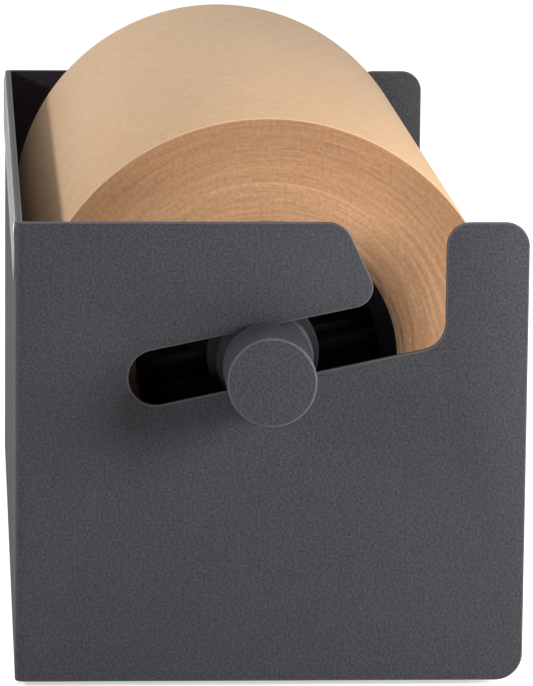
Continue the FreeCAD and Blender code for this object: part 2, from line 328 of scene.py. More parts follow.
def thread(z0, z1):
    """Stations of the thread's grooves from z0 to z1."""
    turns = max(2, round((z1 - z0) / THREAD_PITCH))
    stations = []
    for index in range(turns):
        z = z0 + (z1 - z0) * index / turns
        stations.append((z, THREAD_RADIUS))
        stations.append((z + (z1 - z0) * 0.5 / turns, THREAD_RADIUS - THREAD_PITCH * 0.45))
    stations.append((z1 - THREAD_PITCH * 0.2, THREAD_RADIUS))
    stations.append((z1, THREAD_RADIUS - THREAD_PITCH * 0.5))
    return stations


def stud_mesh(name, reach):
    return round_mesh(name, [(0.0, THREAD_RADIUS)] + thread(0.8 * MM, reach))


def rivet_mesh(name, reach, head, shank):
    """Flush rivet with a slightly hollow face at both ends."""
    hollow = 0.06 * MM
    half = [(hollow, 0.8 * MM), (0.0, head - 0.35 * MM), (0.0, head - hollow), (hollow, head),
            (head - shank, shank)]
    return round_mesh(name, half + [(reach - z, radius) for z, radius in reversed(half)], 32)


def nut_mesh(name):
    """Hexagon nut whose corners are turned down on both faces."""
    chamfer = NUT_FLATS * 0.05
    face_limit = NUT_FLATS / 2 * 0.99
    bm = bmesh.new()

    def bore(z):
        return ring_of(bm, circle_points(NUT_BORE, 24), z)

    def hexagon(z, limit):
        ring = []
        for x, y in circle_points(1.0, 24):
            sector = atan2(y, x) % (pi / 3) - pi / 6
            reach = min(NUT_FLATS / 2 / cos(sector), limit)
            ring.append((reach * x, reach * y))
        return ring_of(bm, ring, z)

    rings = [bore(0.0), hexagon(0.0, face_limit), hexagon(chamfer, NUT_FLATS),
             hexagon(NUT_HEIGHT - chamfer, NUT_FLATS), hexagon(NUT_HEIGHT, face_limit),
             bore(NUT_HEIGHT)]
    bridge(bm, rings + rings[:1])
    face_out(bm)
    return mesh_from(name, bm)


# Node trees

def feed(tree, node, values):
    """Sets or links a node's inputs, by socket name or number."""
    for key, value in values.items():
        if isinstance(value, NodeSocket):
            tree.links.new(value, node.inputs[key])
        else:
            node.inputs[key].default_value = value


def add(tree, kind, values=None, **settings):
    """A node with its settings, and with values or links on its inputs."""
    made = tree.nodes.new(kind)
    for key, value in settings.items():
        setattr(made, key, value)
    feed(tree, made, values or {})
    return made


def maths(tree, operation, *items):
    """The result of a Math node on sockets or numbers."""
    return add(tree, "ShaderNodeMath", dict(enumerate(items)), operation=operation).outputs[0]


def product(tree, first, second):
    return maths(tree, "MULTIPLY", first, second)


def weighted(tree, *pairs):
    """Sum of the sockets, each times its weight."""
    total = None
    for socket, weight in pairs:
        part = product(tree, socket, weight)
        total = part if total is None else maths(tree, "ADD", total, part)
    return total


def vector(tree, **parts):
    return add(tree, "ShaderNodeCombineXYZ", parts).outputs[0]


def remap(tree, value, low, high, to_low=0.0, to_high=1.0):
    return add(tree, "ShaderNodeMapRange",
               {"Value": value, "From Min": low, "From Max": high, "To Min": to_low,
                "To Max": to_high}).outputs[0]


def new_tree(name, kind, inputs, outputs):
    """A node group and its given inputs, from each socket's label, type and default value."""
    tree = bpy.data.node_groups.new(name, kind)
    for direction, items in (("INPUT", inputs), ("OUTPUT", outputs)):
        for label, socket, *value in items:
            made = tree.interface.new_socket(label, in_out=direction,
                                             socket_type="NodeSocket" + socket)
            if value:
                made.default_value = value[0]
    return tree, tree.nodes.new("NodeGroupInput").outputs


def geometry_tree(name, inputs):
    return new_tree(name, "GeometryNodeTree",
                    [("Geometry", "Geometry"), *inputs, ("Material", "Material")],
                    [("Geometry", "Geometry")])


def finish_tree(tree, given, geometry):
    """Gives the geometry its material and sends it out."""
    paint = add(tree, "GeometryNodeSetMaterial", {"Geometry": geometry,
                                                  "Material": given["Material"]})
    add(tree, "NodeGroupOutput", {0: paint.outputs[0]})


def real_copies(tree, values):
    """Copies on points, made real."""
    copies = add(tree, "GeometryNodeInstanceOnPoints", values)
    return add(tree, "GeometryNodeRealizeInstances", {0: copies.outputs[0]}).outputs[0]


def turned_by(tree, **parts):
    return add(tree, "FunctionNodeEulerToRotation", {0: vector(tree, **parts)}).outputs[0]


def copies_tree(name):
    """Copies one fastener to each point, along the point's own direction."""
    tree, given = geometry_tree(name, [("Fastener", "Object"), ("Turn range", "Float", pi / 3),
                                       ("Size", "Float", 1.0), ("Seed", "Int", 7)])
    fastener = add(tree, "GeometryNodeObjectInfo", {"Object": given["Fastener"],
                                                    "As Instance": True})
    direction = add(tree, "GeometryNodeInputNamedAttribute", {"Name": "direction"},
                    data_type="FLOAT_VECTOR")
    align = add(tree, "FunctionNodeAlignRotationToVector",
                {"Vector": direction.outputs["Attribute"]}, axis="Z")
    spin = add(tree, "FunctionNodeRandomValue", {"Seed": given["Seed"]}, data_type="FLOAT")
    low, high = [socket for socket in spin.inputs if socket.type == "VALUE"][:2]
    low.default_value = 0.0
    tree.links.new(given["Turn range"], high)
    turn = [socket for socket in spin.outputs if socket.type == "VALUE"][0]
    rotate = add(tree, "FunctionNodeRotateRotation",
                 {0: align.outputs[0], 1: turned_by(tree, Z=turn)}, rotation_space="LOCAL")
    finish_tree(tree, given, real_copies(tree, {
        "Points": given["Geometry"], "Instance": fastener.outputs["Geometry"],
        "Rotation": rotate.outputs[0], "Scale": given["Size"]}))
    return tree


def blade_tree(name):
    """Flat strip with ground teeth up and a countersunk hole at each point."""
    tree, given = geometry_tree(name, [
        ("Teeth", "Int", 114), ("Length", "Float", 0.342), ("Height", "Float", 0.018),
        ("Tooth depth", "Float", 0.0018), ("Thickness", "Float", 0.0006),
        ("Grind", "Float", 0.7), ("Top", "Vector"), ("Hole radius", "Float", 0.0029)])

    def times(label, factor):
        return product(tree, given[label], factor)

    # The edge with its teeth, from left to right
    steps = times("Teeth", 2.0)
    pitch = maths(tree, "DIVIDE", given["Length"], steps)
    line = add(tree, "GeometryNodeMeshLine",
               {"Count": maths(tree, "ADD", steps, 1.0), "Offset": vector(tree, X=pitch),
                "Start Location": vector(tree, X=times("Length", -0.5))}, mode="OFFSET")
    odd = maths(tree, "MODULO", add(tree, "GeometryNodeInputIndex").outputs[0], 2.0)
    gullet = product(tree, maths(tree, "SUBTRACT", odd, 1.0), given["Tooth depth"])
    zigzag = add(tree, "GeometryNodeSetPosition", {"Geometry": line.outputs[0],
                                                   "Offset": vector(tree, Z=gullet)})
    # The strip below it, with a straight lower edge
    down = times("Height", -1.0)
    skirt = add(tree, "GeometryNodeExtrudeMesh", {"Mesh": zigzag.outputs[0],
                                                  "Offset": vector(tree, Z=down)}, mode="EDGES")
    place = add(tree, "GeometryNodeInputPosition")
    apart = add(tree, "ShaderNodeSeparateXYZ", {0: place.outputs[0]}).outputs
    is_low = maths(tree, "LESS_THAN", apart["Z"], times("Height", -0.5))
    level = add(tree, "GeometryNodeSetPosition",
                {"Geometry": skirt.outputs["Mesh"], "Selection": is_low,
                 "Position": vector(tree, X=apart["X"], Z=down)}).outputs[0]
    # Its thickness, and the tips ground on the front
    thick = add(tree, "GeometryNodeExtrudeMesh",
                {"Mesh": level, "Offset": vector(tree, Y=times("Thickness", -1.0)),
                 "Individual": False}, mode="FACES")
    flip = add(tree, "GeometryNodeFlipFaces", {0: level})
    join = add(tree, "GeometryNodeJoinGeometry", {0: thick.outputs["Mesh"]})
    tree.links.new(flip.outputs[0], join.inputs[0])
    weld = add(tree, "GeometryNodeMergeByDistance", {"Geometry": join.outputs[0],
                                                     "Distance": WELD})
    is_tip = maths(tree, "GREATER_THAN", apart["Z"], times("Tooth depth", -0.5))
    is_front = maths(tree, "LESS_THAN", apart["Y"], times("Thickness", -0.5))
    ground = add(tree, "GeometryNodeSetPosition",
                 {"Geometry": weld.outputs[0], "Selection": product(tree, is_tip, is_front),
                  "Offset": vector(tree, Y=times("Thickness", given["Grind"]))})
    moved = add(tree, "GeometryNodeTransform", {"Geometry": ground.outputs[0],
                                                "Translation": given["Top"]})
    # The holes
    reach = times("Thickness", 2.0)
    widest = maths(tree, "ADD", given["Hole radius"], times("Thickness", 0.5))
    sink = add(tree, "GeometryNodeMeshCone",
               {"Vertices": 40, "Depth": reach, "Radius Bottom": widest,
                "Radius Top": maths(tree, "SUBTRACT", widest, reach)})
    sunk = add(tree, "GeometryNodeTransform", {"Geometry": sink.outputs["Mesh"],
                                               "Rotation": (-pi / 2, 0.0, 0.0)})
    holes = real_copies(tree, {"Points": given["Geometry"], "Instance": sunk.outputs[0]})
    cut = add(tree, "GeometryNodeMeshBoolean", {"Mesh 1": moved.outputs[0], "Mesh 2": holes},
              operation="DIFFERENCE")
    finish_tree(tree, given, cut.outputs["Mesh"])
    return tree


def ribs_tree(name):
    """Ribs set evenly round a centre, from a single one along +Y."""
    tree, given = geometry_tree(name, [("Count", "Int", 4), ("First turn", "Float", 0.0),
                                       ("Centre", "Vector")])
    step = maths(tree, "DIVIDE", tau, given["Count"])
    index = add(tree, "GeometryNodeInputIndex").outputs[0]
    angle = maths(tree, "ADD", product(tree, index, step), given["First turn"])
    points = add(tree, "GeometryNodePoints", {"Count": given["Count"],
                                              "Position": given["Centre"]})
    finish_tree(tree, given, real_copies(tree, {
        "Points": points.outputs[0], "Instance": given["Geometry"],
        "Rotation": turned_by(tree, X=angle)}))
    return tree


def tree_named(name, build):
    return bpy.data.node_groups.get(name) or build(name)


def grown(name, base, tree, values):
    """Runs a tree on a base object and returns its result as a plain mesh."""
    modifier = base.modifiers.new(tree.name, "NODES")
    modifier.node_group = tree
    identifiers = {item.name: item.identifier for item in tree.interface.items_tree
                   if item.item_type == "SOCKET" and item.in_out == "INPUT"}
    for label, value in values.items():
        modifier[identifiers[label]] = value
    base.update_tag()
    bpy.context.view_layer.update()
    evaluated = base.evaluated_get(bpy.context.evaluated_depsgraph_get())
    mesh = bpy.data.meshes.new_from_object(evaluated)
    mesh.name = name
    base.modifiers.remove(modifier)
    old = base.data
    bpy.data.objects.remove(base)
    bpy.data.meshes.remove(old)
    return new_object(name, mesh)


def points_object(name, places, directions):
    mesh = bpy.data.meshes.new(name)
    mesh.from_pydata([tuple(place) for place in places], [], [])
    attribute = mesh.attributes.new("direction", "FLOAT_VECTOR", "POINT")
    for item, direction in zip(attribute.data, directions):
        item.vector = direction
    return new_object(name, mesh)


def fasten(node, fastener_mesh, body, material, direction_at):
    """Puts one fastener where the CAD node has each of its solids."""
    places = []
    directions = []
    for low, high in solids_of(node):
        centre = (low + high) / 2
        direction = direction_at(centre)
        reach = abs((high - low).dot(direction)) / 2
        places.append(centre - direction * reach)
        directions.append(direction)
    single = new_object("single_" + node, fastener_mesh)
    points = points_object("points_" + node, places, directions)
    piece = grown("fitted_" + node, points, tree_named("Fasteners on points", copies_tree),
                  {"Fastener": single, "Turn range": pi / 3, "Size": 1.0, "Seed": 7,
                   "Material": material})
    bpy.data.objects.remove(single)
    seat(piece, body, material, node)


def backwards(centre):
    return Vector((0, 1, 0))


def upwards(centre):
    return Vector((0, 0, 1))


def off_the_plate(centre):
    """Along the welded stud, from its side plate or the front panel to the inside."""
    if abs(centre.x) > PAPER_HIGH.x:
        return Vector((-copysign(1, centre.x), 0, 0))
    return backwards(centre)


# Shader node groups

def object_place(group):
    return add(group, "ShaderNodeTexCoord").outputs["Object"]


def grain_group(name):
    """Fine even texture: a height and a mask of its lighter grains."""
    group, given = new_tree(name, "ShaderNodeTree", [("Size", "Float", 0.001)],
                            [("Height", "Float"), ("Fleck", "Float")])
    place = object_place(group)
    scale = maths(group, "DIVIDE", 1.0, given["Size"])
    fine = add(group, "ShaderNodeTexNoise", {"Vector": place, "Scale": scale, "Detail": 2.0,
                                             "Roughness": 0.6}).outputs["Fac"]
    cells = add(group, "ShaderNodeTexVoronoi", {"Vector": place,
                                                "Scale": product(group, scale, 0.6)},
                feature="SMOOTH_F1").outputs["Distance"]
    add(group, "NodeGroupOutput",
        {"Height": maths(group, "ADD", fine, product(group, cells, -0.25)),
         "Fleck": remap(group, fine, 0.33, 0.67)})
    return group


def drift_group(name):
    """Slow variation over the surface, from 0 to 1 about a half."""
    group, given = new_tree(name, "ShaderNodeTree",
                            [("Size", "Float", 0.05), ("Amount", "Float", 0.5),
                             ("Stretch", "Vector", (1.0, 1.0, 1.0))], [("Drift", "Float")])
    stretched = add(group, "ShaderNodeVectorMath", {0: object_place(group), 1: given["Stretch"]},
                    operation="MULTIPLY")
    slow = add(group, "ShaderNodeTexNoise",
               {"Vector": stretched.outputs[0], "Detail": 3.0,
                "Scale": maths(group, "DIVIDE", 1.0, given["Size"])})
    centred = maths(group, "SUBTRACT", slow.outputs["Fac"], 0.5)
    add(group, "NodeGroupOutput",
        {"Drift": maths(group, "ADD", 0.5, product(group, centred, given["Amount"]))})
    return group


def section_group(name):
    """Where a point lies about an axis: its radius, and a vector of turn, radius and length."""
    group, given = new_tree(
        name, "ShaderNodeTree",
        [("Centre", "Vector", (0.0, ROLL.y, ROLL.z)), ("Radial scale", "Float", 1000.0),
         ("Turn scale", "Float", 1.0), ("Length scale", "Float", 10.0)],
        [("Radius", "Float"), ("Unrolled", "Vector")])
    shift = add(group, "ShaderNodeVectorMath", {0: object_place(group), 1: given["Centre"]},
                operation="SUBTRACT")
    apart = add(group, "ShaderNodeSeparateXYZ", {0: shift.outputs[0]}).outputs
    squares = [product(group, apart[axis], apart[axis]) for axis in "YZ"]
    radius = maths(group, "SQRT", maths(group, "ADD", *squares))
    turn = [product(group, maths(group, "DIVIDE", apart[axis], radius), given["Turn scale"])
            for axis in "YZ"]
    far = weighted(group, (radius, given["Radial scale"]), (apart["X"], given["Length scale"]))
    add(group, "NodeGroupOutput",
        {"Radius": radius, "Unrolled": vector(group, X=turn[0], Y=turn[1], Z=far)})
    return group


def group_node(tree, name, build, values):
    return add(tree, "ShaderNodeGroup", values, node_tree=tree_named(name, build)).outputs


def grain(tree, size):
    return group_node(tree, "Fine grain", grain_group, {"Size": size})


def drift(tree, size, amount=1.0, stretch=(1.0, 1.0, 1.0)):
    return group_node(tree, "Slow drift", drift_group,
                      {"Size": size, "Amount": amount, "Stretch": stretch})["Drift"]


def unrolled(tree, radial, turn, along, axis=ROLL):
    return group_node(tree, "Round the axis", section_group,
                      {"Centre": (0.0, axis.y, axis.z), "Radial scale": radial,
                       "Turn scale": turn, "Length scale": along})


def noise_over(tree, place, detail, roughness=0.5):
    """Noise over a vector that has its scale already."""
    return add(tree, "ShaderNodeTexNoise", {"Vector": place, "Scale": 1.0, "Detail": detail,
                                            "Roughness": roughness}).outputs["Fac"]


# Materials

def plain_material(name, base, roughness, specular, values=None):
    """A material with its Principled shader, and constant values on the shader's sockets."""
    material = bpy.data.materials.new(name)
    material.use_nodes = True
    tree = material.node_tree
    shader = tree.nodes["Principled BSDF"]
    feed(tree, shader, {"Base Color": (*base, 1.0), "Roughness": roughness,
                        "Specular IOR Level": specular, **(values or {})})
    material.diffuse_color = (*base, 1.0)
    return material, tree, shader


def blend(tree, factor, first, second):
    """Mixes two colours, each given as three values or a socket."""
    ends = [item if isinstance(item, NodeSocket) else (*item, 1.0) for item in (first, second)]
    return add(tree, "ShaderNodeMix", {0: factor, 6: ends[0], 7: ends[1]},
               data_type="RGBA").outputs[2]


def tinted(base, *factors):
    """A colour times one factor, or times one for each channel."""
    if len(factors) == 1:
        factors = factors * 3
    return tuple(channel * factor for channel, factor in zip(base, factors))


def bump(tree, shader, height, distance, strength):
    made = add(tree, "ShaderNodeBump", {"Height": height, "Distance": distance,
                                        "Strength": strength})
    feed(tree, shader, {"Normal": made.outputs[0]})


def textured_coat(name, dark, light, size):
    """Powder coating: grains of two tones, a slow drift, and a painted highlight on the marked
    rims.
    """
    material, tree, shader = plain_material(name, dark, 0.5, 0.3, {"IOR": 1.5})
    grains = grain(tree, size)
    tone = weighted(tree, (grains["Fleck"], 0.72), (drift(tree, size * 3.5), 0.18),
                    (drift(tree, 30.0 * MM), 0.10))
    # Painted highlight: marked rims get a colour paler than the light grains.
    rim = add(tree, "ShaderNodeAttribute", attribute_name="rim").outputs["Fac"]
    speckled = blend(tree, tone, dark, light)
    feed(tree, shader, {"Base Color": blend(tree, rim, speckled, tinted(light, 1.25)),
                        "Roughness": remap(tree, grains["Fleck"], 0.0, 1.0, 0.5, 0.66)})
    bump(tree, shader, grains["Height"], 0.12 * MM, 0.6)
    return material


def satin_coat(name, base, roughness):
    """Smooth coating over the faint rings that turning leaves."""
    material, tree, shader = plain_material(name, base, roughness, 0.25)
    around = unrolled(tree, radial=2600.0, turn=1.5, along=30.0, axis=AXLE)
    marks = noise_over(tree, around["Unrolled"], 2.0)
    flecks = grain(tree, 0.9 * MM)["Fleck"]
    feed(tree, shader, {"Base Color": blend(tree, flecks, base, tinted(base, 1.35)),
                        "Roughness": remap(tree, marks, 0.3, 0.7, roughness - 0.06,
                                           roughness + 0.1)})
    bump(tree, shader, marks, 0.02 * MM, 0.5)
    return material


def drawn_steel(name, base, roughness, stretch=(1.0, 1.0, 1.0)):
    """Bare or plated steel with fine drawing marks along one direction."""
    material, tree, shader = plain_material(name, base, roughness, 0.5, {"Metallic": 1.0})
    marks = drift(tree, 0.6 * MM, stretch=stretch)
    cloud = drift(tree, 10.0 * MM, 1.4)
    feed(tree, shader, {"Base Color": blend(tree, cloud, tinted(base, 0.82), base),
                        "Roughness": remap(tree, marks, 0.2, 0.8, roughness - 0.1,
                                           roughness + 0.14)})
    bump(tree, shader, marks, 0.02 * MM, 0.6)
    return material


def moulded(name, base, roughness, grain_size, gloss=0.3):
    """Rubber or plastic with the mould's fine grain."""
    material, tree, shader = plain_material(name, base, roughness, gloss)
    height = grain(tree, grain_size)["Height"]
    cloud = drift(tree, 12.0 * MM, 1.2)
    feed(tree, shader, {"Base Color": blend(tree, cloud, base, tinted(base, 1.5)),
                        "Roughness": remap(tree, height, 0.2, 0.7, roughness - 0.08,
                                           roughness + 0.1)})
    bump(tree, shader, height, 0.05 * MM, 0.5)
    return material


def kraft_paper(name, base):
    """Smooth brown paper with faint fibres and the mottling of the pulp."""
    material, tree, shader = plain_material(name, base, 0.62, 0.35)
    pulp = drift(tree, 3.5 * MM, stretch=(0.5, 1.0, 1.0))
    broad = drift(tree, 50.0 * MM, stretch=(0.25, 1.0, 1.0))
    around = unrolled(tree, radial=0.0, turn=26.0, along=1500.0)
    fibres = noise_over(tree, around["Unrolled"], 4.0, 0.7)
    tone = weighted(tree, (pulp, 0.5), (broad, 0.2), (fibres, 0.3))
    feed(tree, shader, {
        "Base Color": blend(tree, remap(tree, tone, 0.25, 0.75),
                                    tinted(base, 0.88, 0.84, 0.78), tinted(base, 1.08, 1.11, 1.14)),
        "Roughness": remap(tree, fibres, 0.3, 0.7, 0.56, 0.7)})
    bump(tree, shader, fibres, 0.06 * MM, 0.35)
    return material


def wound_edges(name, base, rim):
    """Cut edges of the turns: fine rings, a browner band of painted shade towards the rim, browner
    beside the core, and a painted highlight on the outermost edge.
    """
    material, tree, shader = plain_material(name, base, 0.85, 0.2)
    around = unrolled(tree, radial=2400.0, turn=5.0, along=80.0)
    coarser = unrolled(tree, radial=620.0, turn=1.6, along=80.0)
    fine = noise_over(tree, around["Unrolled"], 3.0, 0.65)
    bundles = noise_over(tree, coarser["Unrolled"], 2.0)
    tone = weighted(tree, (fine, 0.40), (bundles, 0.22), (drift(tree, 1.2 * MM), 0.38))
    ringed = remap(tree, tone, 0.33, 0.64)
    dark = tinted(base, 0.76, 0.72, 0.68)
    pale = tinted(base, 1.20, 1.24, 1.28)
    brown = (0.64, 0.60, 0.57)
    colour_now = blend(tree, ringed, dark, pale)
    browner = blend(tree, ringed, tinted(dark, *brown), tinted(pale, *brown))
    radius = around["Radius"]
    # Painted shade: a browner band towards the rim darkens the end's outer turns.
    painted_rim_shade = remap(tree, radius, PAPER_RADIUS - 22.0 * MM, PAPER_RADIUS - 6.0 * MM)
    near_core = remap(tree, radius, CORE_RADIUS + 6.0 * MM, CORE_RADIUS)
    for place, strength in ((painted_rim_shade, 0.85), (near_core, 0.25)):
        colour_now = blend(tree, product(tree, place, strength), colour_now, browner)
    # Painted highlight: a paler line on the outermost edge of the end.
    painted_rim_highlight = remap(tree, radius, PAPER_RADIUS - 0.55 * MM, PAPER_RADIUS - 0.3 * MM)
    feed(tree, shader, {"Base Color": blend(tree, painted_rim_highlight, colour_now, rim)})
    bump(tree, shader, fine, 0.22 * MM, 0.6)
    return material


def core_board(name, base):
    """Grey-brown board whose plies show at the ends."""
    material, tree, shader = plain_material(name, base, 0.9, 0.2)
    around = unrolled(tree, radial=2200.0, turn=9.0, along=120.0)
    plies = noise_over(tree, around["Unrolled"], 3.0, 0.7)
    feed(tree, shader, {"Base Color": blend(tree, remap(tree, plies, 0.3, 0.7),
                                                    tinted(base, 0.6), tinted(base, 1.45))})
    bump(tree, shader, plies, 0.1 * MM, 0.6)
    return material


def finish_named(name, build, *values):
    """A material by name, built the first time it is needed. Colours come as plain tuples."""
    if name in bpy.data.materials:
        return bpy.data.materials[name]
    return build(name, *(value if isinstance(value, float) else tuple(value) for value in values))


def coat_material():
    sizes = bpy.context.scene.cutter_housing
    return finish_named("Textured coat", textured_coat, sizes.coat, sizes.coat_light,
                        sizes.grain_size)


def zinc_material():
    return finish_named("Bright zinc", drawn_steel, bpy.context.scene.cutter_housing.zinc, 0.32)


# Operators, one for each piece or group of like pieces

class MakeShell(Operator):
    """Bent sheet with its cut edges softened under the coating"""
    bl_idname = "cutter.make_shell"
    bl_label = "Housing shell"

    def execute(self, context):
        sizes = context.scene.cutter_housing
        softened("coated_shell", "housing_shell", "housing", coat_material(), sizes.rim_round, 3,
                 sharp_degrees=22.0)
        return {"FINISHED"}


class MakePan(Operator):
    """Folded floor between the side plates"""
    bl_idname = "cutter.make_pan"
    bl_label = "Base pan"

    def execute(self, context):
        sizes = context.scene.cutter_housing
        softened("coated_pan", "base_pan", "housing", coat_material(), sizes.pan_round,
                 sharp_degrees=24.0)
        return {"FINISHED"}


class MakeBlade(Operator):
    """Toothed strip on the front panel"""
    bl_idname = "cutter.make_blade"
    bl_label = "Cutter blade"

    def execute(self, context):
        sizes = context.scene.cutter_housing
        along = (0.02, 1.0, 1.0)
        steel = finish_named("Ground steel", drawn_steel, sizes.steel, 0.34, along)
        strip = BLADE_HIGH - BLADE_LOW
        clearance = 0.02 * MM
        heads = [(low + high) / 2 for low, high in solids_of("blade_rivets")]
        places = [(head.x, BLADE_LOW.y - strip.y / 2, head.z) for head in heads]
        points = points_object("blade_holes", places, [(0, 1, 0)] * len(places))
        blade = grown("toothed_blade", points, tree_named("Toothed strip", blade_tree),
                      {"Teeth": max(1, int(strip.x / sizes.tooth_pitch)), "Length": strip.x,
                       "Height": strip.z, "Tooth depth": sizes.tooth_depth,
                       "Thickness": strip.y, "Grind": sizes.tooth_grind,
                       "Top": (0.0, BLADE_HIGH.y, BLADE_HIGH.z),
                       "Hole radius": span_of("blade_rivets").z / 2 + clearance,
                       "Material": steel})
        seat(blade, "housing", steel, "cutter_blade")
        return {"FINISHED"}


class FitHousingFasteners(Operator):
    """Rivets, screws, nuts and welded studs of the housing"""
    bl_idname = "cutter.fit_housing_fasteners"
    bl_label = "Housing fasteners"

    def execute(self, context):
        zinc = zinc_material()
        span = span_of("blade_rivets")
        rivet = rivet_mesh("flush_rivet", span.y, head=span.z / 2, shank=1.5 * MM)
        head = 3.8 * MM
        height = 2.4 * MM
        soft = 0.3 * MM
        stations = [(0.0, head - soft), (soft, head), (height, head), (height, THREAD_RADIUS)]
        stations += thread(height + soft, span_of("foot_screws").z)
        screw = screw_mesh("foot_screw", stations, socket_flats=2.5 * MM, socket_depth=1.4 * MM)
        span = span_of("pan_studs")
        stud = stud_mesh("weld_stud", max(span.x, span.y))
        for node, mesh, direction_at in (
                ("blade_rivets", rivet, backwards), ("foot_screws", screw, upwards),
                ("foot_nuts", nut_mesh("foot_nut"), upwards),
                ("pan_studs", stud, off_the_plate),
                ("pan_nuts", nut_mesh("stud_nut"), off_the_plate)):
            fasten(node, mesh, "housing", zinc, direction_at)
        return {"FINISHED"}


class MakeFeet(Operator):
    """Four rubber feet with a recess for the screw's head"""
    bl_idname = "cutter.make_feet"
    bl_label = "Feet"

    def execute(self, context):
        sizes = context.scene.cutter_housing
        rubber = finish_named("Foot rubber", moulded, sizes.rubber, 0.7, 0.5 * MM)
        for node in ("foot_front_right", "foot_front_left", "foot_rear_right", "foot_rear_left"):
            softened("rubber_" + node, node, "housing", rubber, sizes.foot_round, 3)
        return {"FINISHED"}


class MakeAxle(Operator):
    """Rod, knobs, collars and thrust washers"""
    bl_idname = "cutter.make_axle"
    bl_label = "Axle"

    def execute(self, context):
        sizes = context.scene.cutter_axle
        housing = context.scene.cutter_housing
        coat = finish_named("Knob coat", textured_coat, sizes.knob_coat, housing.coat_light,
                            housing.grain_size)
        satin = finish_named("Satin coat", satin_coat, sizes.washer, 0.38)
        edge = sizes.edge_round
        softened("steel_rod", "axle_rod", "axle", zinc_material(), sizes.rod_round, 3, 60.0)
        for side in SIDES:
            # Knob chamfers are marked as rims too, so they get the coat's painted highlight.
            softened("round_knob_" + side, "knob_" + side, "axle", coat, edge, 2, 60.0,
                     chamfered=True)
            softened("rod_collar_" + side, "shaft_collar_" + side, "axle", coat, edge, 2, 40.0)
            softened("flat_washer_" + side, "thrust_washer_" + side, "axle", satin, edge * 2, 3,
                     60.0)
        return {"FINISHED"}


class FitGrubScrews(Operator):
    """Grub screws that hold the knobs and collars on the rod"""
    bl_idname = "cutter.fit_grub_screws"
    bl_label = "Grub screws"

    def execute(self, context):
        sizes = context.scene.cutter_axle
        black = finish_named("Black oxide", drawn_steel, sizes.black_oxide, 0.45)
        for node in ("knob_grub_screws", "collar_grub_screws"):
            chamfer = 0.4 * MM
            stations = [(0.0, THREAD_RADIUS - chamfer)] + thread(chamfer, span_of(node).z)
            screw = screw_mesh("grub_screw", stations, socket_flats=2.0 * MM,
                               socket_depth=2.5 * MM)
            fasten(node, screw, "axle", black, upwards)
        return {"FINISHED"}


class MakeRoll(Operator):
    """Wound paper with its turns standing unevenly at both ends"""
    bl_idname = "cutter.make_roll"
    bl_label = "Paper roll"

    def execute(self, context):
        sizes = context.scene.cutter_roll
        end = PAPER_HIGH.x
        rim = 0.3 * MM
        wound = PAPER_RADIUS - rim - CORE_RADIUS
        last = sizes.ring_count - 1
        radii = [CORE_RADIUS + wound * index / last for index in range(last + 1)]
        right, left = both_ends(end, radii)
        profile = right + [(end - rim, PAPER_RADIUS), (rim - end, PAPER_RADIUS)] + left
        seam = radians(205.0)

        def uneven(x, radius, angle):
            """The outer turn ends in a step. The ends' turns stand back, least near their rims."""
            if radius > PAPER_RADIUS - rim / 2:
                turn = ((angle - seam) % tau) / tau
                return x, radius - sizes.layer_step * turn
            side = copysign(1.0, x)
            along = Vector((radius * 900.0, cos(angle) * 1.3,
                            sin(angle) * 1.3 + side * 9))
            depth = max(0.0, 0.35 + noise.noise(along) * 1.1)
            near = min(1.0, (PAPER_RADIUS - radius) / (3.0 * MM),
                       (radius - CORE_RADIUS + 0.6 * MM) / (2.0 * MM))
            return x - side * sizes.ring_shift * depth * near, radius

        roll = turned("wound_roll", profile, 360, 60.0, uneven)
        paper = finish_named("Kraft paper", kraft_paper, sizes.paper)
        edges = finish_named("Wound paper edges", wound_edges, sizes.paper_edge, sizes.paper_rim_highlight)
        seat(roll, "roll", paper, "paper_roll")
        roll.data.materials.append(edges)
        for face in roll.data.polygons:
            if abs(face.normal.x) > 0.3:
                face.material_index = 1
        return {"FINISHED"}


class MakeCore(Operator):
    """Board tube with its slightly ragged cut ends"""
    bl_idname = "cutter.make_core"
    bl_label = "Cardboard core"

    def execute(self, context):
        sizes = context.scene.cutter_roll
        fray_depth = 0.12 * MM
        outer = CORE_RADIUS - 0.03 * MM
        inner = outer - sizes.board_wall
        plies = [inner, inner + 0.6 * MM, inner + 1.6 * MM, inner + 2.4 * MM, outer]
        right, left = both_ends(CORE_HIGH.x - 0.05 * MM, plies)

        def ragged(x, radius, angle):
            place = Vector((cos(angle) * 14, sin(angle) * 14, radius * 3000))
            return x - copysign(1.0, x) * abs(noise.noise(place)) * fray_depth, radius

        core = turned("board_core", right + left, 360, 50.0, ragged)
        seat(core, "roll", finish_named("Core board", core_board, sizes.board), "cardboard_core")
        return {"FINISHED"}


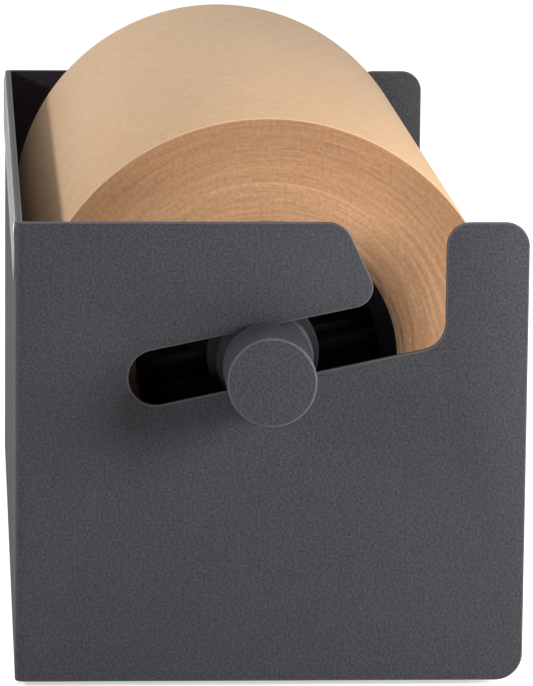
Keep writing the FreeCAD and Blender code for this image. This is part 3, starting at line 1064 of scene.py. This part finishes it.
class MakePlugs(Operator):
    """Moulded plugs with a lip, a ring, ribs and a hub"""
    bl_idname = "cutter.make_plugs"
    bl_label = "Core plugs"

    def execute(self, context):
        sizes = context.scene.cutter_roll
        plastic = finish_named("Plug plastic", moulded, sizes.plug, 0.5, 0.6 * MM, 0.05)
        soft = sizes.plug_round
        hub_radius = sizes.hub_radius
        back = PLUG_LOW.x
        shoulder = CORE_HIGH.x
        face = shoulder + 1.5 * MM
        hub_end = PLUG_HIGH.x
        lip = PLUG_HIGH.z - ROLL.z
        ring = lip - 0.9 * MM
        ring_inner = ring - sizes.ring_wall
        rim = [(back, ring - 0.6 * MM), (back + 0.9 * MM, ring), (shoulder, ring),
               (shoulder, lip - soft), (shoulder + soft, lip), (face - soft, lip),
               (face, lip - soft), (face, ring_inner + soft), (face - soft, ring_inner),
               (back, ring_inner)]
        bore = ROD_RADIUS + hypot(ROLL.y - AXLE.y, ROLL.z - AXLE.z) + 0.05 * MM
        funnel = 0.2 * MM
        hub = [(back, hub_radius), (hub_end - soft, hub_radius), (hub_end, hub_radius - soft),
               (hub_end, bore + funnel), (hub_end - funnel, bore), (back, bore)]
        rib_end = face - 1.2 * MM
        rib_size = (rib_end - back - 0.1 * MM, ring_inner - hub_radius + 1.0 * MM, sizes.rib_width)
        rib_place = ((rib_end + back) / 2, (ring_inner + hub_radius) / 2, 0.0)
        for side in SIDES:
            pieces = [turned("plug_ring_" + side, rim, 160), turned("plug_hub_" + side, hub, 96)]
            rib = bmesh.new()
            bmesh.ops.create_cube(rib, size=1.0)
            bmesh.ops.scale(rib, vec=rib_size, verts=rib.verts)
            bmesh.ops.translate(rib, vec=rib_place, verts=rib.verts)
            bmesh.ops.bevel(rib, geom=rib.edges, offset=soft, segments=2, profile=0.5,
                            affect="EDGES")
            single = new_object("single_rib", mesh_from("single_rib", rib))
            pieces.append(grown("plug_ribs_" + side, single,
                                tree_named("Ribs round the hub", ribs_tree),
                                {"Count": sizes.rib_count,
                                 "First turn": radians(sizes.rib_turn),
                                 "Centre": (0.0, ROLL.y, ROLL.z), "Material": plastic}))
            for piece in pieces:
                if side == "left":
                    mirrored(piece)
                seat(piece, "roll", plastic, "core_plug_" + side)
        return {"FINISHED"}


class SetStage(Operator):
    """Floor, lights, world and camera"""
    bl_idname = "cutter.set_stage"
    bl_label = "Stage"

    def execute(self, context):
        sizes = context.scene.cutter_stage
        make_floor(sizes)
        make_world(sizes)
        lamp("Key lamp", (0.62, 0.64, 0.33), (0.17, 0.02, 0.06), 0.36, sizes.key)
        lamp("Side lamp", (0.4, -1.42, 0.75), (0.0, -0.05, 0.12), 0.3, sizes.side)
        lamp("Overhead lamp", (-0.7, -0.2, 1.5), (0.0, 0.0, 0.1), 1.0, sizes.over)
        make_camera()
        context.scene.view_settings.view_transform = "Standard"
        return {"FINISHED"}


def make_floor(sizes):
    """A pale round table top, lifted to white where the camera sees it."""
    rim = [(x, y, 0.0) for x, y in circle_points(4.0, 64)]
    mesh = bpy.data.meshes.new("table_top")
    mesh.from_pydata(rim, [], [tuple(range(len(rim)))])
    floor = new_object("table_top", mesh)
    material, tree, shader = plain_material("Table top", tuple(sizes.floor), 0.6, 0.2,
                                            {"Emission Color": (1.0, 1.0, 1.0, 1.0)})
    seen = add(tree, "ShaderNodeLightPath").outputs["Is Camera Ray"]
    cloud = drift(tree, 200.0 * MM, 0.3)
    feed(tree, shader, {"Emission Strength": product(tree, seen, sizes.floor_glow),
                        "Roughness": remap(tree, cloud, 0.0, 1.0, 0.55, 0.65)})
    floor.data.materials.append(material)


def make_world(sizes):
    """White for the camera. For the light, brightest behind the part and dim in front of it."""
    world = bpy.data.worlds.new("Studio")
    world.use_nodes = True
    tree = world.node_tree
    place = add(tree, "ShaderNodeTexCoord").outputs["Generated"]
    depth = add(tree, "ShaderNodeSeparateXYZ", {0: place}).outputs["X"]
    backdrop = remap(tree, depth, -0.9, -0.35, sizes.backdrop, sizes.fill)
    shaded = remap(tree, depth, 0.2, 0.85, 1.0, sizes.front)
    seen = add(tree, "ShaderNodeLightPath").outputs["Is Camera Ray"]
    strength = add(tree, "ShaderNodeMix", {"Factor": seen, "A": product(tree, backdrop, shaded),
                                           "B": 1.0}, data_type="FLOAT")
    feed(tree, tree.nodes["Background"], {"Color": (1.0, 1.0, 1.0, 1.0),
                                          "Strength": strength.outputs["Result"]})
    bpy.context.scene.world = world


def lamp(name, place, target, size, energy):
    data = bpy.data.lights.new(name, "AREA")
    data.shape = "DISK"
    data.size = size
    data.energy = energy
    made = new_object(name, data)
    made.location = place
    made.rotation_euler = (Vector(target) - Vector(place)).to_track_quat("-Z", "Y").to_euler()
    made.visible_camera = False


def make_camera():
    """Looks along -X with a small turn, dip and roll, from 1.6 m."""
    place = Matrix.Translation((1.6346, -0.0902, 0.3628))
    for degrees, axis in ((-3.49, "Z"), (-10.11, "Y"), (0.59, "X")):
        place @= Matrix.Rotation(radians(degrees), 4, axis)
    level = Matrix(((0, 0, 1), (1, 0, 0), (0, 1, 0))).to_4x4()
    data = bpy.data.cameras.new("Camera")
    data.sensor_fit = "VERTICAL"
    data.sensor_height = 36.0
    data.lens = 266.1
    data.clip_start = 0.05
    camera = new_object("Camera", data)
    camera.matrix_world = place @ level
    bpy.context.scene.camera = camera


STEPS = (MakeShell, MakePan, MakeBlade, FitHousingFasteners, MakeFeet, MakeAxle, FitGrubScrews,
         MakeRoll, MakeCore, MakePlugs, SetStage)
SETTINGS = (("cutter_housing", HousingSizes), ("cutter_axle", AxleSizes),
            ("cutter_roll", RollSizes), ("cutter_stage", StageSizes))


class CutterPanel(Panel):
    """Lists the sizes, colours and steps"""
    bl_idname = "VIEW3D_PT_cutter"
    bl_label = "Paper cutter"
    bl_space_type = "VIEW_3D"
    bl_region_type = "UI"
    bl_category = "Paper cutter"

    def draw(self, context):
        for name, group in SETTINGS:
            box = self.layout.box()
            settings = getattr(context.scene, name)
            for key in group.__annotations__:
                box.prop(settings, key)
        for step in STEPS:
            self.layout.operator(step.bl_idname)


CLASSES = tuple(group for name, group in SETTINGS) + STEPS + (CutterPanel,)


def register():
    for item in CLASSES:
        bpy.utils.register_class(item)
    for name, group in SETTINGS:
        setattr(bpy.types.Scene, name, PointerProperty(type=group))


def unregister():
    for name, group in SETTINGS:
        delattr(bpy.types.Scene, name)
    for item in reversed(CLASSES):
        bpy.utils.unregister_class(item)


def main():
    register()
    for step in STEPS:
        category, name = step.bl_idname.split(".")
        getattr(getattr(bpy.ops, category), name)()


if __name__ == "__main__":
    main()
